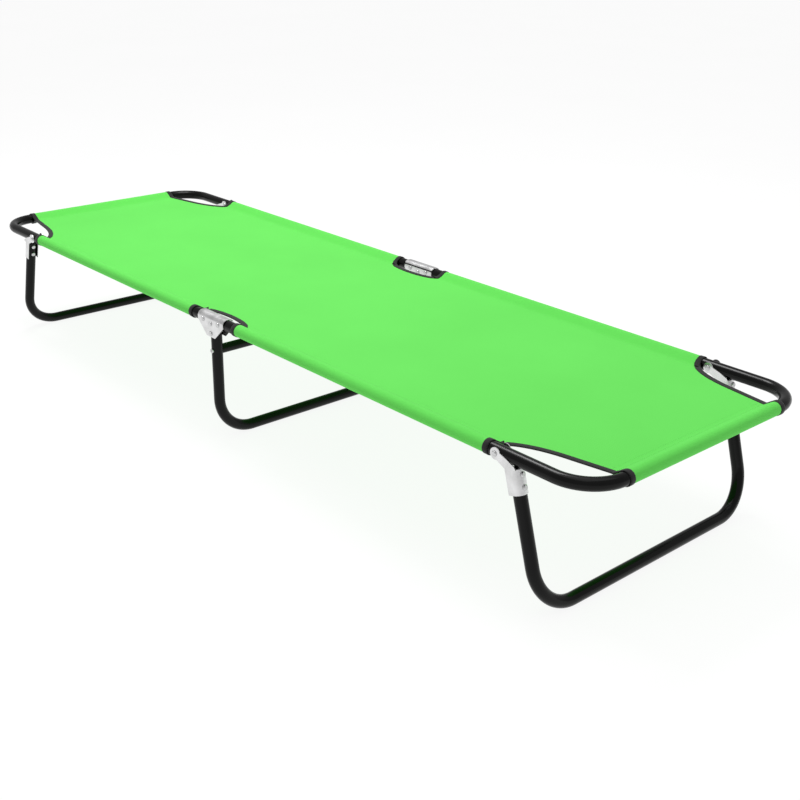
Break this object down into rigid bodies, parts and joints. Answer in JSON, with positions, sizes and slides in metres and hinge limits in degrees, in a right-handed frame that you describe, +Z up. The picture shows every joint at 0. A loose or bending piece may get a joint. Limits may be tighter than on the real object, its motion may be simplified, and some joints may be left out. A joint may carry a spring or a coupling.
{
  "type": "folding cot",
  "caption": "Low folding cot: hinged tubular rail frame with a cloth sling, folding U-shaped end legs with riveted clasps, and a middle leg with crossbar under the hinge brackets.",
  "frame": {"origin": "on the floor, under the middle of the cot", "axes": "+X along the length towards the foot end, +Y across towards the far side, +Z up"},
  "size_m": [1.8928, 0.5724, 0.263],
  "materials": {
    "black_tube": "gloss powder coat",
    "zinc_sheet": "zinc plated",
    "rivet_steel": "zinc plated",
    "plug_plastic": "moulded",
    "green_cloth": "plain weave",
    "black_tape": "woven tape"
  },
  "bodies": {
    "head_half": {"head_rail_frame": "black_tube", "sling_head": "green_cloth", "head_near_corner_tape": "black_tape", "head_far_corner_tape": "black_tape", "head_middle_tape": "black_tape"},
    "centre": {"middle_leg": "black_tube", "middle_crossbar": "black_tube", "crossbar_plugs": "plug_plastic", "crossbar_screws": "rivet_steel", "near_bracket_saddle": "zinc_sheet", "far_bracket_saddle": "zinc_sheet", "near_bracket_plate": "zinc_sheet", "far_bracket_plate": "zinc_sheet", "head_hinge_rivets": "rivet_steel", "foot_hinge_rivets": "rivet_steel", "middle_leg_rivets": "rivet_steel", "sling_centre": "green_cloth", "centre_middle_tape": "black_tape"},
    "foot_half": {"foot_rail_frame": "black_tube", "sling_foot": "green_cloth", "foot_near_corner_tape": "black_tape", "foot_far_corner_tape": "black_tape", "foot_middle_tape": "black_tape"},
    "head_leg": {"head_leg": "black_tube", "head_near_clasp": "zinc_sheet", "head_far_clasp": "zinc_sheet", "head_clasp_rivets": "rivet_steel", "head_leg_pivots": "rivet_steel"},
    "foot_leg": {"foot_leg": "black_tube", "foot_near_clasp": "zinc_sheet", "foot_far_clasp": "zinc_sheet", "foot_clasp_rivets": "rivet_steel", "foot_leg_pivots": "rivet_steel"}
  },
  "joints": [
    {"name": "head_fold", "type": "hinge", "parent": "head_half", "child": "centre", "pos_m": [-0.025, 0, 0.25], "axis": [0, 1, 0], "range_deg": [0, 84]},
    {"name": "foot_fold", "type": "hinge", "parent": "centre", "child": "foot_half", "pos_m": [0.025, 0, 0.25], "axis": [0, 1, 0], "range_deg": [0, 84]},
    {"name": "head_leg_fold", "type": "hinge", "parent": "head_half", "child": "head_leg", "pos_m": [-0.757, 0, 0.25], "axis": [0, -1, 0], "range_deg": [0, 106.6]},
    {"name": "foot_leg_fold", "type": "hinge", "parent": "foot_half", "child": "foot_leg", "pos_m": [0.757, 0, 0.25], "axis": [0, 1, 0], "range_deg": [0, 106.6]}
  ],
  "couplings": [
    {"joint": "foot_fold", "follows": "head_fold", "ratio": 1},
    {"joint": "head_leg_fold", "follows": "head_fold", "ratio": 1.269},
    {"joint": "foot_leg_fold", "follows": "head_fold", "ratio": 1.269}
  ]
}
